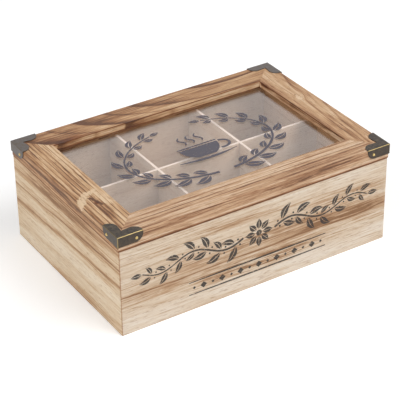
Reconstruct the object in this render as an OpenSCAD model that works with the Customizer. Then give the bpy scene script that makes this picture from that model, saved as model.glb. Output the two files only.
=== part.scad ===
// Wooden organiser box with six compartments and a hinged, glazed lid.
// The origin is the centre of the underside, +Z is up, the front faces -Y and +X runs to the right.
// The lid is shown closed. It turns about the pins of the two hinges on the back.

/* [Outside] */
// Length of the lid frame, left to right
lid_length = 240; // [190:1:320]
// Depth of the lid frame, front to back
lid_depth = 165; // [130:1:220]
// Height of the walls below the lid
wall_height = 73; // [50:1:110]
// Height of the lid frame
lid_height = 12; // [11:0.5:18]
// How far the lid stands out past the walls at the front and the two sides
lid_overhang = 0.5; // [0:0.1:2]
// Radius of the eased outer arrises of the walls and the lid
arris = 0.8; // [0.3:0.1:1.5]

/* [Walls and bottom] */
// Thickness of the four walls
wall_t = 8; // [6:0.5:12]
// Thickness of the bottom panel
bottom_t = 3; // [2:0.5:5]
// How far the bottom panel is let into the walls
bottom_seat = 4; // [3:0.5:5]
// Gap around the edge of the bottom panel
bottom_fit = 0.15; // [0.05:0.05:0.4]
// Radius of a bottom brad's shank
brad_r = 0.6; // [0.4:0.1:0.8]
// Radius of a bottom brad's flush head
brad_head_r = 1.1; // [0.9:0.1:1.4]
// Thickness of a bottom brad's head
brad_head_t = 0.5; // [0.3:0.1:0.8]
// Length of a bottom brad
brad_length = 12; // [8:1:16]

/* [Dividers] */
// Thickness of the dividers
divider_t = 2; // [1.5:0.5:5]
// How far the tops of the dividers lie below the rim of the walls
divider_drop = 0.5; // [0.3:0.1:8]
// Depth of the slots in the walls that hold the dividers' ends
slot_depth = 2; // [1:0.5:3]
// Gap on each side of a divider in a slot
slot_fit = 0.1; // [0.05:0.05:0.3]

/* [Lid frame and glass] */
// Width of the frame's rails, seen from above
rail_w = 24; // [20:0.5:32]
// Thickness of the rails' lip over the glass
lip_t = 4.5; // [3:0.5:6]
// Width of the rails' lip over the glass
lip_w = 5; // [4:0.5:10]
// How far the lip's inner face leans in towards the glass
lip_lean = 0.9; // [0.2:0.1:1.5]
// Thickness of the glass
glass_t = 2; // [1.5:0.5:3]
// Gap around the edge of the glass
glass_fit = 0.5; // [0.2:0.1:0.8]
// Width of the beads that hold the glass from below
bead_w = 2.5; // [2:0.5:4]
// Height of the beads
bead_h = 2.5; // [2:0.5:3]

/* [Corner brackets] */
// Thickness of the brackets' sheet
bracket_t = 0.6; // [0.4:0.1:0.8]
// Length of a bracket along each edge of the lid
bracket_arm = 20.5; // [17:0.5:24]
// Width of a bracket's arms on top of the lid
bracket_arm_w = 7.6; // [6:0.1:10]
// Distance from the lid's corner to the notch between the arms, along each edge
bracket_notch = 6.8; // [5:0.1:7.5]
// Radius of the rounded ends on top of the lid
lobe_r = 6.6; // [4:0.1:7.5]
// Height of a bracket's flanges down the sides of the lid
flange_h = 7.8; // [7:0.1:8.5]
// Radius of the flanges' rounded lower ends
flange_r = 6.4; // [4:0.1:6.8]
// Distance from the lid's corner to each bracket nail
nail_along = 15; // [12:0.5:16]
// Distance from the top of the lid to each bracket nail
nail_down = 4.4; // [3.5:0.1:5]
// Radius of a bracket nail's shank
nail_r = 0.6; // [0.4:0.1:0.8]
// Radius of a bracket nail's round head
nail_head_r = 1.2; // [1:0.1:1.6]
// Height of a bracket nail's round head
nail_head_h = 0.8; // [0.5:0.1:1]
// Length of a bracket nail's shank
nail_length = 7; // [5:0.5:10]
// Gap around the shanks of nails, brads and screws in their holes
shank_fit = 0.05; // [0.02:0.01:0.08]

/* [Hinges] */
// Distance from the end of the lid to the middle of the nearer hinge
hinge_from_end = 50; // [40:1:70]
// Length of a hinge along its pin
hinge_length = 28; // [20:1:36]
// Height of each hinge leaf
leaf_h = 10; // [8:0.5:10.5]
// Thickness of the hinge leaves
leaf_t = 1; // [0.8:0.1:1.2]
// Radius of the hinge leaves' outer corners
leaf_corner_r = 1.5; // [0.5:0.1:2.5]
// Outer radius of the knuckles
knuckle_r = 2.2; // [1.8:0.1:2.6]
// Gap between the knuckles and the wood behind them
knuckle_gap = 0.3; // [0.3:0.1:0.6]
// Gap between neighbouring knuckles along the pin
knuckle_play = 0.2; // [0.1:0.05:0.4]
// Radius of the hinge pin
pin_r = 1; // [0.8:0.05:1.2]
// Gap around the pin in the knuckles
pin_fit = 0.05; // [0.02:0.01:0.09]
// Radius of the pin's heads
pin_head_r = 1.7; // [1.4:0.1:1.8]
// Thickness of the pin's heads
pin_head_t = 0.9; // [0.6:0.1:1.4]
// Distance from the middle of a hinge to each screw
screw_along = 9; // [6:0.5:10]
// Distance from the hinge's axis to each screw
screw_out = 6.2; // [5:0.1:7]
// Radius of a hinge screw's shank
screw_r = 0.8; // [0.6:0.1:1]
// Radius of a hinge screw's round head
screw_head_r = 1.7; // [1.4:0.1:2]
// Height of a hinge screw's round head
screw_head_h = 0.9; // [0.6:0.1:1.2]
// Width and depth of the slot in a hinge screw's head
screw_slot = 0.45; // [0.3:0.05:0.5]
// Length of a hinge screw's shank
screw_length = 6; // [4:0.5:7]

/* [Hidden] */

$fn = 48;
// Straight steps in an eased arris or a rounded outline
arris_steps = 4;
outline_steps = 12;
// Reach of a cut past the face that it goes through
through = 1;

// Walls: flush with the lid at the back, under its overhang on the other three sides
body_length = lid_length - 2 * lid_overhang;
body_depth = lid_depth - lid_overhang;
body_y = lid_overhang / 2;
back_y = lid_depth / 2;
inner_length = body_length - 2 * wall_t;
inner_depth = body_depth - 2 * wall_t;

// Compartments: three along the length, two along the depth
compartment_pitch_x = (inner_length + divider_t) / 3;
compartment_pitch_y = (inner_depth + divider_t) / 2;
divider_top = wall_height - divider_drop;
lap_z = (bottom_t + divider_top) / 2;
slot_w = divider_t + 2 * slot_fit;

// Lid: heights of the glass and its beads, and the depth of the rebate that holds them
lid_top = wall_height + lid_height;
glass_top = lid_top - lip_t;
glass_bottom = glass_top - glass_t;
rebate_in = rail_w - lip_w;

// Hinges: the pin's axis lies at the height of the seam, behind the back face
hinge_x = lid_length / 2 - hinge_from_end;
axis_y = back_y + knuckle_r + knuckle_gap;
knuckle_length = hinge_length / 3;

wood = "BurlyWood";
toasted = "Peru";
pale_ply = "Wheat";
bronze = "DimGray";
brass = "Goldenrod";

// Points of an arc about [x, y] from angle a to angle b
function arc(x, y, r, a, b, steps) =
    [for (i = [0:steps]) let (t = a + (b - a) * i / steps) [x + r * cos(t), y + r * sin(t)]];

// Plan of a bar along X whose outer face is y = 0, cut at 45 degrees at both ends
function mitred_plan(length, depth, ease) = concat(
    arc(length / 2 - ease, ease, ease, -90, -45, arris_steps),
    [[length / 2 - depth, depth], [depth - length / 2, depth]],
    arc(ease - length / 2, ease, ease, -135, -90, arris_steps)
);

// Section of a wall: the first coordinate runs inwards and the second upwards
wall_section = concat(
    [[0, 0], [wall_t, 0], [wall_t, wall_height]],
    arc(arris, wall_height - arris, arris, 90, 180, arris_steps)
);

// Section of a lid rail: an L whose lip lies over the glass
rail_section = concat(
    arc(arris, arris, arris, 180, 270, arris_steps),
    [[rebate_in, 0], [rebate_in, lid_height - lip_t], [rail_w + lip_lean, lid_height - lip_t],
        [rail_w, lid_height]],
    arc(arris, lid_height - arris, arris, 90, 180, arris_steps)
);

// Section of a glazing bead
bead_section = [[0, 0], [bead_w, 0], [bead_w, bead_h], [0, bead_h]];

// A straight bar along X with mitred ends, its outer face on y = 0 and its underside on z = 0
module mitred_bar(length, depth, height, section, ease) {
    intersection() {
        linear_extrude(height) polygon(mitred_plan(length, depth, ease));
        translate([-length / 2, 0, 0])
            rotate([90, 0, 90]) linear_extrude(length) polygon(section);
    }
}

// Places a bar made by mitred_bar on one side of a length by depth rectangle about [0, y]
module on_side(side, length, depth, y) {
    if (side == "front") translate([0, y - depth / 2, 0]) children();
    if (side == "back") translate([0, y + depth / 2, 0]) rotate(180) children();
    if (side == "left") translate([-length / 2, y, 0]) rotate(-90) children();
    if (side == "right") translate([length / 2, y, 0]) rotate(90) children();
}

// A flat round head with its base on z = 0, a cap of a sphere
module round_head(r, h) {
    cap_r = (r * r + h * h) / (2 * h);
    intersection() {
        translate([0, 0, h - cap_r]) sphere(cap_r);
        translate([-r, -r, 0]) cube([2 * r, 2 * r, h]);
    }
}

// ---- Walls, bottom and dividers ----

// The places of the bottom brads, one behind each compartment's outer sides
module at_brads() {
    brad_in = wall_t - bottom_seat / 2;
    for (i = [-1:1], side = [-1, 1])
        translate([i * compartment_pitch_x, body_y + side * (body_depth / 2 - brad_in), 0]) children();
    for (j = [-1, 1], side = [-1, 1])
        translate([side * (body_length / 2 - brad_in), body_y + j * compartment_pitch_y / 2, 0])
            children();
}

// Room for the bottom panel in the underside of the walls
module bottom_room(gap) {
    l = inner_length + 2 * bottom_seat - 2 * gap;
    d = inner_depth + 2 * bottom_seat - 2 * gap;
    translate([-l / 2, body_y - d / 2, 0]) cube([l, d, bottom_t]);
}

// Room for the ends of the three dividers in the walls
module divider_slots() {
    slot_top = wall_height + through;
    for (side = [-1, 1])
        translate([side * compartment_pitch_x / 2 - slot_w / 2, body_y - inner_depth / 2 - slot_depth, 0])
            cube([slot_w, inner_depth + 2 * slot_depth, slot_top]);
    translate([-inner_length / 2 - slot_depth, body_y - slot_w / 2, 0])
        cube([inner_length + 2 * slot_depth, slot_w, slot_top]);
}

module wall(side) {
    across = side == "front" || side == "back";
    difference() {
        on_side(side, body_length, body_depth, body_y)
            mitred_bar(across ? body_length : body_depth, wall_t, wall_height, wall_section, arris);
        translate([0, 0, -through]) bottom_room(0);
        bottom_room(0);
        translate([0, 0, bottom_t]) divider_slots();
        at_brads() cylinder(r = brad_r + shank_fit, h = brad_length + shank_fit);
        if (side == "back") at_screws(-1) cylinder(r = screw_r + shank_fit, h = screw_length + shank_fit);
    }
}

module front_board() {
    color(wood) wall("front");
}

module back_board() {
    color(wood) wall("back");
}

module left_board() {
    color(wood) wall("left");
}

module right_board() {
    color(wood) wall("right");
}

module bottom_panel() {
    color(pale_ply) difference() {
        bottom_room(bottom_fit);
        at_brads() {
            translate([0, 0, -through]) cylinder(r = brad_r + shank_fit, h = bottom_t + 2 * through);
            translate([0, 0, -through])
                cylinder(r = brad_head_r + shank_fit, h = brad_head_t + through);
        }
    }
}

module bottom_brads() {
    color(bronze) at_brads() {
        cylinder(r = brad_head_r, h = brad_head_t);
        cylinder(r = brad_r, h = brad_length);
    }
}

// A divider along X, its middle on the origin, standing on the bottom panel
module divider(length) {
    translate([-length / 2, -divider_t / 2, bottom_t])
        cube([length, divider_t, divider_top - bottom_t]);
}

module long_divider() {
    color(pale_ply) translate([0, body_y, 0]) difference() {
        divider(inner_length + 2 * slot_depth - 2 * slot_fit);
        for (side = [-1, 1])
            translate([side * compartment_pitch_x / 2 - slot_w / 2, -divider_t, lap_z])
                cube([slot_w, 2 * divider_t, wall_height]);
    }
}

module cross_divider(side) {
    color(pale_ply) translate([side * compartment_pitch_x / 2, body_y, 0]) rotate(90) difference() {
        divider(inner_depth + 2 * slot_depth - 2 * slot_fit);
        translate([-slot_w / 2, -divider_t, 0]) cube([slot_w, 2 * divider_t, lap_z]);
    }
}

module left_cross_divider() {
    cross_divider(-1);
}

module right_cross_divider() {
    cross_divider(1);
}

// ---- Lid frame and glass ----

module rail(side) {
    across = side == "front" || side == "back";
    color(toasted) difference() {
        on_side(side, lid_length, lid_depth, 0) translate([0, 0, wall_height])
            mitred_bar(across ? lid_length : lid_depth, rail_w + lip_lean, lid_height, rail_section, arris);
        at_bracket_nails() cylinder(r = nail_r + shank_fit, h = nail_length + shank_fit);
        if (side == "back") at_screws(1) cylinder(r = screw_r + shank_fit, h = screw_length + shank_fit);
    }
}

module front_rail() {
    rail("front");
}

module back_rail() {
    rail("back");
}

module left_rail() {
    rail("left");
}

module right_rail() {
    rail("right");
}

module glass_pane() {
    l = lid_length - 2 * rebate_in - 2 * glass_fit;
    d = lid_depth - 2 * rebate_in - 2 * glass_fit;
    color("LightCyan", 0.3) translate([-l / 2, -d / 2, glass_bottom]) cube([l, d, glass_t]);
}

module bead(side) {
    across = side == "front" || side == "back";
    l = lid_length - 2 * rebate_in;
    d = lid_depth - 2 * rebate_in;
    color(toasted) on_side(side, l, d, 0) translate([0, 0, glass_bottom - bead_h])
        mitred_bar(across ? l : d, bead_w, bead_h, bead_section, 0);
}

module front_bead() {
    bead("front");
}

module back_bead() {
    bead("back");
}

module left_bead() {
    bead("left");
}

module right_bead() {
    bead("right");
}

// ---- Corner brackets ----

// Places a bracket made for the front left corner on the corner given by sx and sy
module on_corner(sx, sy) {
    translate([sx * lid_length / 2, sy * lid_depth / 2, lid_top])
        mirror([sx > 0 ? 1 : 0, 0, 0]) mirror([0, sy > 0 ? 1 : 0, 0]) children();
}

// The two nails of a bracket, their heads seated on the flanges and their shanks along +Z
module at_nails_of_one() {
    translate([nail_along, -bracket_t, -nail_down]) rotate([-90, 0, 0]) children();
    translate([-bracket_t, nail_along, -nail_down]) rotate([0, 90, 0]) children();
}

module at_bracket_nails() {
    for (sx = [-1, 1], sy = [-1, 1]) on_corner(sx, sy) at_nails_of_one() children();
}

// Outline of the sheet on top of the lid
top_outline = concat(
    [[-bracket_t, -bracket_t], [bracket_arm, -bracket_t]],
    arc(bracket_arm - lobe_r, bracket_arm_w - lobe_r, lobe_r, 0, 90, outline_steps),
    [[bracket_notch, bracket_notch]],
    arc(bracket_arm_w - lobe_r, bracket_arm - lobe_r, lobe_r, 0, 90, outline_steps),
    [[-bracket_t, bracket_arm]]
);

// Outline of a flange: the first coordinate runs along the lid's edge and the second upwards
flange_outline = concat(
    [[-bracket_t, bracket_t], [-bracket_t, -flange_h]],
    arc(bracket_arm - flange_r, flange_r - flange_h, flange_r, -90, 0, outline_steps),
    [[bracket_arm, bracket_t]]
);

// A square of the given reach whose corner at -bracket_t is rounded, and which covers the fold
function fold_square(reach) = concat(
    arc(0, 0, bracket_t, 180, 270, arris_steps),
    [[reach, -bracket_t], [reach, reach], [-bracket_t, reach]]
);

module bracket(sx, sy) {
    reach = bracket_arm + through;
    color(bronze) on_corner(sx, sy) difference() {
        intersection() {
            union() {
                linear_extrude(bracket_t) polygon(top_outline);
                rotate([90, 0, 0]) linear_extrude(bracket_t) polygon(flange_outline);
                mirror([1, -1, 0]) rotate([90, 0, 0]) linear_extrude(bracket_t) polygon(flange_outline);
            }
            translate([0, 0, -reach]) linear_extrude(2 * reach) polygon(fold_square(reach));
            translate([-reach, 0, 0]) rotate([90, 0, 90])
                linear_extrude(2 * reach) mirror([0, 1]) polygon(fold_square(reach));
            translate([0, reach, 0]) rotate([90, 0, 0])
                linear_extrude(2 * reach) mirror([0, 1]) polygon(fold_square(reach));
        }
        at_nails_of_one() translate([0, 0, -through])
            cylinder(r = nail_r + shank_fit, h = bracket_t + 2 * through);
    }
}

module front_left_bracket() {
    bracket(-1, -1);
}

module front_right_bracket() {
    bracket(1, -1);
}

module back_left_bracket() {
    bracket(-1, 1);
}

module back_right_bracket() {
    bracket(1, 1);
}

module bracket_nails() {
    color(brass) at_bracket_nails() {
        mirror([0, 0, 1]) round_head(nail_head_r, nail_head_h);
        cylinder(r = nail_r, h = nail_length);
    }
}

// ---- Hinges ----

// Places one hinge, its axis along X through the origin, its wood at -Y
module at_hinge(side) {
    translate([side * hinge_x, axis_y, wall_height]) children();
}

// The two screws of the leaf that lies above (1) or below (-1) the axis, shanks along +Z
module at_screws_of_one(up) {
    for (s = [-1, 1])
        translate([s * screw_along, back_y + leaf_t - axis_y, up * screw_out])
            rotate([90, 0, 0]) children();
}

module at_screws(up) {
    for (side = [-1, 1]) at_hinge(side) at_screws_of_one(up) children();
}

// A cylinder about the axis, over the part of the hinge from x0 to x1
module on_axis(x0, x1, r) {
    translate([x0, 0, 0]) rotate([0, 90, 0]) cylinder(r = r, h = x1 - x0);
}

// One knuckle with the curl of sheet that joins it to the leaf above or below it
module knuckle(x0, x1, up) {
    curl_y = back_y - axis_y;
    curl_d = leaf_t + knuckle_gap + pin_fit;
    on_axis(x0, x1, knuckle_r);
    translate([x0, curl_y, up > 0 ? 0 : -knuckle_r])
        cube([x1 - x0, curl_d, knuckle_r]);
}

// Outline of a leaf above the axis, with its two outer corners rounded
leaf_outline = concat(
    [[-hinge_length / 2, knuckle_gap], [hinge_length / 2, knuckle_gap]],
    arc(hinge_length / 2 - leaf_corner_r, knuckle_gap + leaf_h - leaf_corner_r, leaf_corner_r, 0, 90,
        arris_steps),
    arc(leaf_corner_r - hinge_length / 2, knuckle_gap + leaf_h - leaf_corner_r, leaf_corner_r, 90, 180,
        arris_steps)
);

// A leaf above (1) or below (-1) the axis, its knuckles over the spans of own, and cut clear of other
module leaf(up, own, other) {
    clear_r = knuckle_r + knuckle_gap;
    color(bronze) difference() {
        union() {
            mirror([0, 0, up > 0 ? 0 : 1]) translate([0, back_y - axis_y + leaf_t, 0])
                rotate([90, 0, 0]) linear_extrude(leaf_t) polygon(leaf_outline);
            for (x = own) knuckle(x[0], x[1], up);
        }
        for (x = other) on_axis(x[0] - knuckle_play, x[1] + knuckle_play, clear_r);
        on_axis(-hinge_length, hinge_length, pin_r + pin_fit);
        at_screws_of_one(up) translate([0, 0, -through])
            cylinder(r = screw_r + shank_fit, h = leaf_t + 2 * through);
    }
}

// The middle knuckle is the lid leaf's, the outer two are the box leaf's
middle = [[-knuckle_length / 2, knuckle_length / 2]];
outer = [
    [-hinge_length / 2, -knuckle_length / 2 - knuckle_play],
    [knuckle_length / 2 + knuckle_play, hinge_length / 2]
];

module left_box_leaf() {
    at_hinge(-1) leaf(-1, outer, middle);
}

module right_box_leaf() {
    at_hinge(1) leaf(-1, outer, middle);
}

module left_lid_leaf() {
    at_hinge(-1) leaf(1, middle, outer);
}

module right_lid_leaf() {
    at_hinge(1) leaf(1, middle, outer);
}

module hinge_pin(side) {
    half = hinge_length / 2 + pin_fit;
    color(brass) at_hinge(side) {
        on_axis(-half, half, pin_r);
        on_axis(half, half + pin_head_t, pin_head_r);
        on_axis(-half - pin_head_t, -half, pin_head_r);
    }
}

module left_hinge_pin() {
    hinge_pin(-1);
}

module right_hinge_pin() {
    hinge_pin(1);
}

// Round-headed screws with a straight slot
module screws(up) {
    color(brass) at_screws(up) {
        difference() {
            mirror([0, 0, 1]) round_head(screw_head_r, screw_head_h);
            translate([-screw_head_r, -screw_slot / 2, -screw_head_h])
                cube([2 * screw_head_r, screw_slot, screw_slot]);
        }
        cylinder(r = screw_r, h = screw_length);
    }
}

module box_leaf_screws() {
    screws(-1);
}

module lid_leaf_screws() {
    screws(1);
}

front_board();
back_board();
left_board();
right_board();
bottom_panel();
bottom_brads();
long_divider();
left_cross_divider();
right_cross_divider();
front_rail();
back_rail();
left_rail();
right_rail();
glass_pane();
front_bead();
back_bead();
left_bead();
right_bead();
front_left_bracket();
front_right_bracket();
back_left_bracket();
back_right_bracket();
bracket_nails();
left_box_leaf();
right_box_leaf();
left_lid_leaf();
right_lid_leaf();
left_hinge_pin();
right_hinge_pin();
box_leaf_screws();
lid_leaf_screws();
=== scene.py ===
"""Looks of a wooden tea bag organizer box round its fixed CAD frame: wood, glass, metal, prints and stage."""

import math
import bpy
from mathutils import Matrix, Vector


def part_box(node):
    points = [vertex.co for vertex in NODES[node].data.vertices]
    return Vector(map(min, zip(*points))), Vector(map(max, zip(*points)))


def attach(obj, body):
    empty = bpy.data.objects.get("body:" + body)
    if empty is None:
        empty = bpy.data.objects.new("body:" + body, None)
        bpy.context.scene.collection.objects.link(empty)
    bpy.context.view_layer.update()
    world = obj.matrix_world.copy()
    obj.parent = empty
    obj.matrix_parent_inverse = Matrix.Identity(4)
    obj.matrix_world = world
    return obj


bl_info = {
    "name": "Tea Bag Organizer Box",
    "version": (1, 0, 0),
    "blender": (4, 5, 0),
    "location": "3D View > Sidebar > Tea box",
    "description": "Dresses the divided wooden box: its boards, glass, metal, prints and stage",
    "category": "Object",
}

import bmesh
import bpy
from bpy.props import FloatProperty, FloatVectorProperty, IntProperty, PointerProperty
from mathutils import Matrix, Vector

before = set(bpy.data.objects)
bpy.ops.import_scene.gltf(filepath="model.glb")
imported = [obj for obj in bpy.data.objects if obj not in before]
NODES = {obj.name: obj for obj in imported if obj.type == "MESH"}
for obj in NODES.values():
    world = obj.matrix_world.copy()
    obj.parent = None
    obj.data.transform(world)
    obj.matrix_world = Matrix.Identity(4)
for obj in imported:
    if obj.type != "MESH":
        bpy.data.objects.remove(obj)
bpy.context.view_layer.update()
MM = 0.001


def paint(code):
    """Linear red, green, blue and alpha from an sRGB hex colour."""
    parts = [int(code[i:i + 2], 16) / 255 for i in (1, 3, 5)]
    return (*(c / 12.92 if c <= 0.04045 else ((c + 0.055) / 1.055) ** 2.4 for c in parts), 1.0)


def shade(name, about, code):
    """A colour that a user can change."""
    return FloatVectorProperty(name=name, description=about, size=4, min=0, max=1, subtype="COLOR",
                               default=paint(code))


def length(name, about, millimetres):
    """A length that a user can change, kept in metres."""
    return FloatProperty(name=name, description=about, default=millimetres * MM, unit="LENGTH")


class TeaBoxColours(bpy.types.PropertyGroup):
    """Colours of the box's finishes."""

    pale: shade("Pale wood", "Earlywood of the bare boards", "#E6D9C9")
    cream: shade("Cream wood", "Body colour of the bare boards", "#D9C4AB")
    tan: shade("Tan wood", "Bands of the bare boards", "#BA9674")
    brown: shade("Brown wood", "Ring lines of the bare boards", "#8C6543")
    toast_pale: shade("Toasted pale wood", "Earlywood of the toasted rails", "#E0CBB2")
    toast_cream: shade("Toasted cream wood", "Body colour of the toasted rails", "#C9A988")
    toast_tan: shade("Toasted tan wood", "Bands of the toasted rails", "#A27A5A")
    toast_brown: shade("Toasted brown wood", "Ring lines of the toasted rails", "#64432D")
    browning: shade("Browning", "Tint of wood that the flame has browned", "#CB9C73")
    # Also painted shade along the seam between lid and body.
    scorch_and_seam_shade: shade("Scorch", "Burnt arrises and patches", "#42291A")
    # Partly the paler sawn wood, partly a painted highlight on the dividers' top edges.
    cut_edge_and_highlight: shade("Cut edge", "Sawn top edges of the dividers", "#F5ECE4")
    ink: shade("Ink", "Stencil ink on the front board", "#302B29")
    pane_ink: shade("Pane ink", "Screen ink on the glass", "#3F3B45")
    bronze: shade("Bronzed steel", "Dark finish of the front brackets and hinges", "#3F3A37")
    # Painted reflection: the darker flat top plate of the front brackets.
    bronze_top_dark_reflection: shade("Deep bronze", "Thicker finish on top of the front brackets", "#2A2624")
    # On the back brackets this grey is a painted reflection of the bright room; on the brads it is their own
    # grey steel.
    grey_bronze_and_sky_reflection: shade("Greyed bronze", "Greyer finish of the back brackets", "#605B5B")
    umber: shade("Umber patina", "Brownish cloud in the antique finish", "#564A3C")
    brass: shade("Brass", "Nails, pins, screws and worn folds", "#CDB479")


class TeaBoxSizes(bpy.types.PropertyGroup):
    """Sizes of the prints and of the wood's figure."""

    print_thickness: length("Ink thickness", "Thickness of the printed ink", 0.04)
    print_lift: length("Ink lift", "Gap between the ink and what it is printed on", 0.02)
    vine_length: length("Vine length", "Length of the vine on the front board", 202)
    vine_height: length("Vine height", "Height of the vine's wave", 9)
    leaf_length: length("Leaf length", "Length of a leaf on the front board", 14.2)
    wreath_width: length("Wreath width", "Width of the wreath on the glass", 126)
    wreath_depth: length("Wreath depth", "Depth of the wreath on the glass", 78)
    leaf_count: IntProperty(name="Wreath leaves", description="Pairs of leaves on each side of the wreath",
                            default=9, min=4, max=20)


class TeaBoxView(bpy.types.PropertyGroup):
    """Where the camera stands."""

    azimuth: FloatProperty(name="Azimuth", description="Turn round the box", default=math.radians(-31.99),
                           subtype="ANGLE")
    elevation: FloatProperty(name="Elevation", description="Height above the horizon",
                             default=math.radians(31.75), subtype="ANGLE")
    roll: FloatProperty(name="Roll", description="Tilt of the picture", default=math.radians(-0.82),
                        subtype="ANGLE")
    distance: FloatProperty(name="Distance", description="From the aim point to the camera",
                            default=1.3856, unit="LENGTH")
    aim: FloatVectorProperty(name="Aim", description="Point in the middle of the picture",
                             default=(0.06205, 0.09964, -0.03946), unit="LENGTH", subtype="XYZ")
    lens: FloatProperty(name="Lens", description="Focal length in millimetres", default=142.7, unit="CAMERA")


MIXED = {"data_type": "RGBA"}
TINTED = {"data_type": "RGBA", "blend_type": "MULTIPLY"}
SMOOTH = {"interpolation_type": "SMOOTHSTEP"}


def add(tree, kind, settings=None, inputs=(), out=0):
    """Adds one node and gives back the output asked for. Settings of one word are the node's operation, and
    inputs come in the node's order, or by name or number."""
    node = tree.nodes.new("ShaderNode" + kind)
    if isinstance(settings, str):
        settings = {"operation": settings}
    for name, value in (settings or {}).items():
        if name == "stops":
            ramp = node.color_ramp.elements
            ramp.remove(ramp[1])
            ramp[0].position, ramp[0].color = value[0]
            for at, colour in value[1:]:
                ramp.new(at).color = colour
        elif name == "blend_between":
            node.color_ramp.interpolation = value
        else:
            setattr(node, name, value)
    for name, value in inputs.items() if isinstance(inputs, dict) else enumerate(inputs):
        if isinstance(value, bpy.types.NodeSocket):
            tree.links.new(value, node.inputs[name])
        else:
            node.inputs[name].default_value = value
    return node.outputs[out] if node.outputs else node


def finish_of(name):
    """A new material, and its empty tree."""
    material = bpy.data.materials.new(name)
    material.use_nodes = True
    material.node_tree.nodes.clear()
    return material, material.node_tree


def surfaced(material, colour, roughness, strength, depth, height, more):
    """The material with its surface: a colour, a roughness and a bump of a strength and a depth in mm."""
    tree = material.node_tree
    normal = add(tree, "Bump", None, {"Strength": strength, "Distance": depth * MM, "Height": height})
    surface = add(tree, "BsdfPrincipled", None,
                  {"Base Color": colour, "Roughness": roughness, "Normal": normal, **more})
    add(tree, "OutputMaterial", None, [surface])
    return material


def rest_place(tree):
    """Where a point of the piece lies at rest, in millimetres."""
    return add(tree, "VectorMath", "MULTIPLY", [add(tree, "TexCoord", out="Object"), (1 / MM,) * 3])


def greys(profile, low=0, high=1):
    """A ramp that carries numbers, given at their places from low to high."""
    return {"stops": [((at - low) / (high - low), (value, value, value, 1)) for at, value in profile]}


def near_line(tree, one, at_one, other, at_other, near, reach, much):
    """Much up to near (mm) from the line where two coordinates have their values, and 0 past reach (mm)."""
    spot = add(tree, "CombineXYZ", None, [one, other])
    off = add(tree, "VectorMath", "DISTANCE", [spot, (at_one, at_other, 0)], "Value")
    return add(tree, "MapRange", SMOOTH, [off, near, reach, much, 0])


def near_spot(tree, place, at, reach, core, much):
    """Much within the core share of the reach (mm, along each axis) round a spot, and 0 past the reach."""
    off = add(tree, "VectorMath", "SUBTRACT", [place, at])
    off = add(tree, "VectorMath", "DIVIDE", [off, reach])
    off = add(tree, "VectorMath", "LENGTH", [off], "Value")
    return add(tree, "MapRange", SMOOTH, [off, core, 1, much, 0])


def around(axis, at, *lines):
    """Arrises of the face where that axis is at: for each, its other axis, place, reach and darkness."""
    return tuple((axis, at, *line) for line in lines)


# The wood's shades from pale to dark, and how dark its figure is where each is reached.
BARE = ("pale", "cream", "tan", "brown")
TOASTED = ("toast_pale", "toast_cream", "toast_tan", "toast_brown")
SHADES_AT = (0.05, 0.35, 0.68, 1.0)
# Darkness across one growth ring: a soft line in the middle and a dark one near its end.
RING = ((0, 0.1), (0.1, 0), (0.34, 0.08), (0.42, 0.45), (0.47, 0.1), (0.6, 0.12), (0.82, 0.45), (0.92, 1),
        (0.97, 0.9), (1, 0.1))
# Sizes of the wood's figure in mm, along and across the grain. Real fibres and pores are 0.1 to 0.3 mm wide,
# too fine for the picture, so the finest are drawn 0.5 mm wide.
WANDER, WAVER, CLOUD = (150, 32), (34, 8), (110, 22)
BROAD_FIBRE, FIBRE, FINE_FIBRE, DARK_FIBRE = (55, 1.9), (24, 0.9), (9, 0.5), (48, 1.25)
FLAME, RAGGED, PORE, WORN = (30, 1.5), (12, 2.2), (5.5, 0.5), (2.4, 1.0)
MOST_DRIFT = 20  # mm, the furthest that bands drift across a board


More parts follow.
